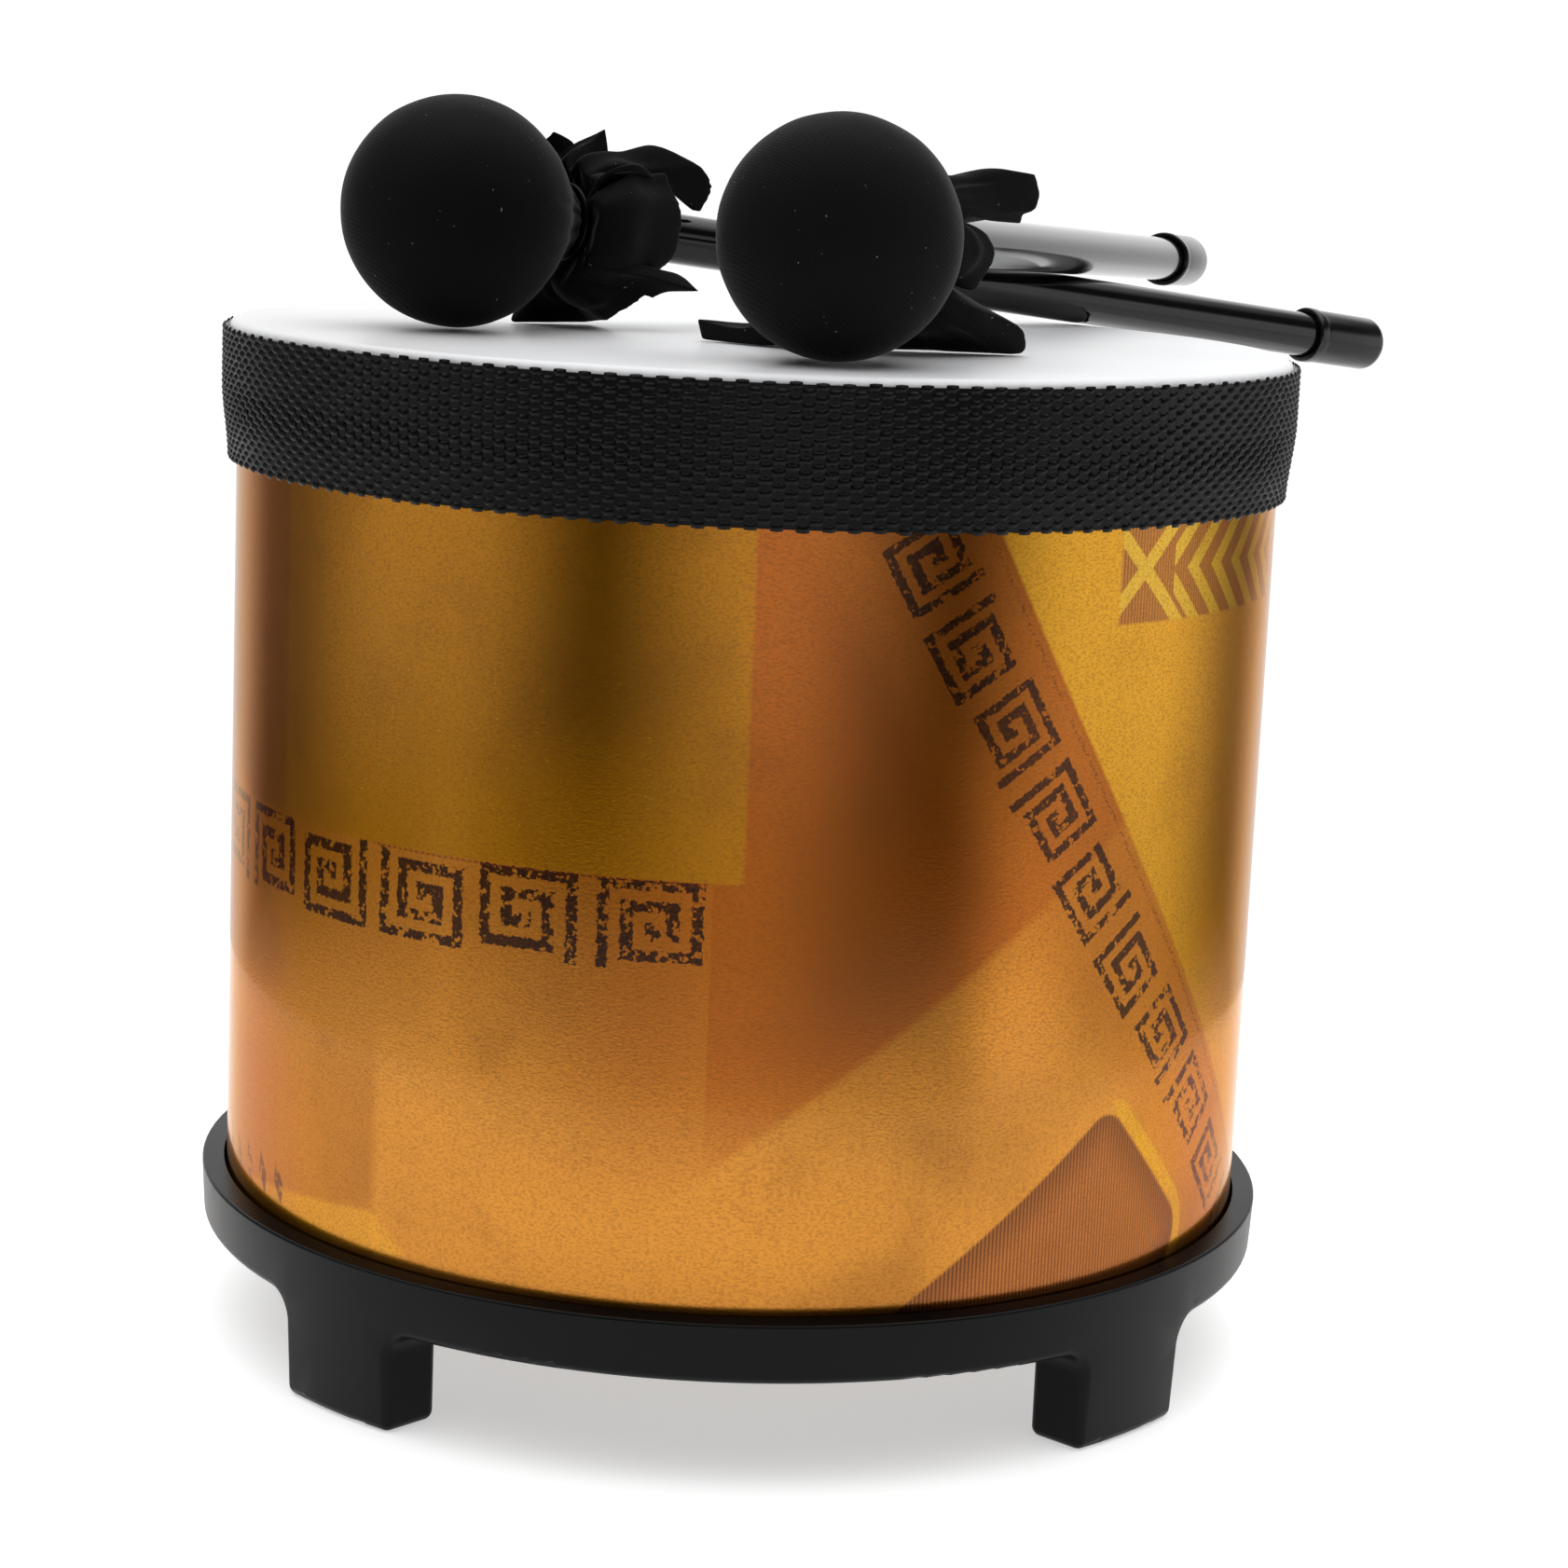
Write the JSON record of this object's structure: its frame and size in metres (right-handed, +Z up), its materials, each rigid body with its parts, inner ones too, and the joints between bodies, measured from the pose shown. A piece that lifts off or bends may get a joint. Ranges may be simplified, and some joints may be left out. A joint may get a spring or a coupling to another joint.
{
  "type": "floor drum",
  "caption": "Small cylindrical floor drum with a glued head under a woven band, a printed shell film, a footed base ring and a pair of soft mallets lying on the head.",
  "frame": {"origin": "on the drum's vertical axis, on the floor plane that the feet stand on", "axes": "+Z up along the drum's axis; the feet stand at 45 degrees to X and Y, and -Y is the side the picture is taken from"},
  "size_m": [0.2566, 0.2735, 0.2425],
  "materials": {
    "base": "black moulded plastic, satin sides and a glossy top face",
    "shell_tube": "wound and pressed fibre tube, bare inside",
    "shell_film": "glossy printed film in gold, olive and copper with dark key frets and fine grain",
    "hoop": "pressed fibre strip, bare",
    "head": "smooth white drumhead, satin",
    "webbing": "black woven tape, plain weave, slight sheen",
    "mallet_core": "firm moulded ball, matt",
    "mallet_cloth": "black stretch knit over a thin padding, matt",
    "mallet_tie": "black elastic ring",
    "mallet_shaft": "black moulded tube, glossy",
    "grip_cap": "black push-on cap, satin"
  },
  "bodies": {
    "drum": {"base_ring": "base", "drum_shell": "shell_tube", "shell_wrap": "shell_film", "head_hoop": "hoop", "drumhead": "head", "webbing_band": "webbing"},
    "mallet_left": {"mallet_left_core": "mallet_core", "mallet_left_cover": "mallet_cloth", "mallet_left_tie": "mallet_tie", "mallet_left_shaft": "mallet_shaft", "mallet_left_grip_cap": "grip_cap", "mallet_left_cover_tail": "mallet_cloth"},
    "mallet_right": {"mallet_right_core": "mallet_core", "mallet_right_cover": "mallet_cloth", "mallet_right_tie": "mallet_tie", "mallet_right_shaft": "mallet_shaft", "mallet_right_grip_cap": "grip_cap", "mallet_right_cover_tail": "mallet_cloth"}
  },
  "joints": [
    {"name": "mallet_left_lift", "type": "slide", "parent": "drum", "child": "mallet_left", "axis": [0, 0, 1], "range_m": [0, 0.1]},
    {"name": "mallet_right_lift", "type": "slide", "parent": "mallet_left", "child": "mallet_right", "axis": [0, 0, 1], "range_m": [0, 0.1]}
  ]
}
